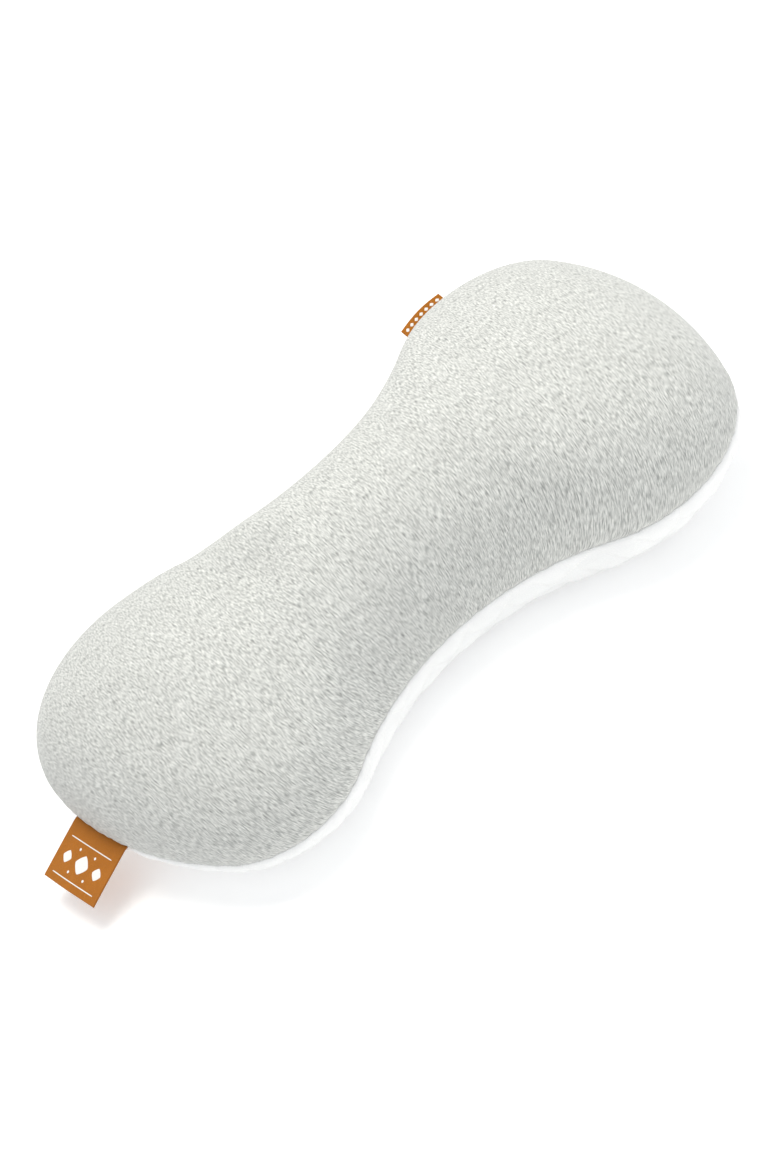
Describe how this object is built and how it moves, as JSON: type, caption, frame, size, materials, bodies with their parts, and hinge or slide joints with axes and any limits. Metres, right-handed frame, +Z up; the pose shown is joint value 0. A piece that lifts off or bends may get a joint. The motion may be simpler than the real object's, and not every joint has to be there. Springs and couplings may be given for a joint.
{
  "type": "nursing pillow",
  "caption": "Peanut-shaped stuffed nursing pillow with a zipped jersey cover, quilted white underside, coil zip and two woven seam tags.",
  "frame": {"origin": "on the flat underside that the pillow rests on, under the middle of its length", "axes": "+X along the length towards the fuller lobe, +Y to the side with the zip, +Z up"},
  "size_m": [0.6461, 0.3593, 0.159],
  "materials": {
    "grey_jersey": "heather grey single jersey",
    "white_quilt": "white quilted knit",
    "polyester_wadding": "loose white fibre",
    "seam_thread": "spun polyester thread",
    "label_satin": "satin label ribbon",
    "casing_cotton": "plain cotton sheeting",
    "zip_tape": "woven polyester tape",
    "zip_coil": "moulded nylon coil",
    "zip_metal": "die-cast zinc, pale grey enamel",
    "orange_tag": "woven satin tag with a plain white motif"
  },
  "bodies": {
    "pillow": {"cover_top_panel": "grey_jersey", "cover_bottom_panel": "white_quilt", "quilt_wadding": "polyester_wadding", "quilt_backing": "white_quilt", "overlock_thread": "seam_thread", "care_label": "label_satin", "inner_casing_top": "casing_cotton", "inner_casing_bottom": "casing_cotton", "fibre_filling": "polyester_wadding", "zip_tape_upper": "zip_tape", "zip_tape_lower": "zip_tape", "zip_coil_upper": "zip_coil", "zip_coil_lower": "zip_coil", "zip_top_stop_upper": "zip_metal", "zip_top_stop_lower": "zip_metal", "zip_bottom_stop": "zip_metal"},
    "slider": {"zip_slider": "zip_metal"},
    "pull": {"zip_pull": "zip_metal"},
    "end_tag": {"end_tag": "orange_tag"},
    "side_tag": {"side_tag": "orange_tag"}
  },
  "joints": [
    {"name": "slider_travel", "type": "hinge", "parent": "pillow", "child": "slider", "pos_m": [0.00209, 0.32121, 0.04807], "axis": [-0.0314, 0, 0.9995], "range_deg": [0, 56]},
    {"name": "pull_swing", "type": "hinge", "parent": "slider", "child": "pull", "pos_m": [-0.10455, 0.12084, 0.04471], "axis": [-0.0314, 0, 0.9995], "range_deg": [0, 150]},
    {"name": "end_tag_flap", "type": "hinge", "parent": "pillow", "child": "end_tag", "pos_m": [-0.29659, 0.00835, 0.03871], "axis": [-0.1686, 0.9857, 0], "range_deg": [-25, 85], "stiffness_Nm_per_rad": 0.002},
    {"name": "side_tag_flap", "type": "hinge", "parent": "pillow", "child": "side_tag", "pos_m": [0.18987, 0.16248, 0.05397], "axis": [0.9897, 0.1431, 0], "range_deg": [-115, 35], "stiffness_Nm_per_rad": 0.001}
  ]
}
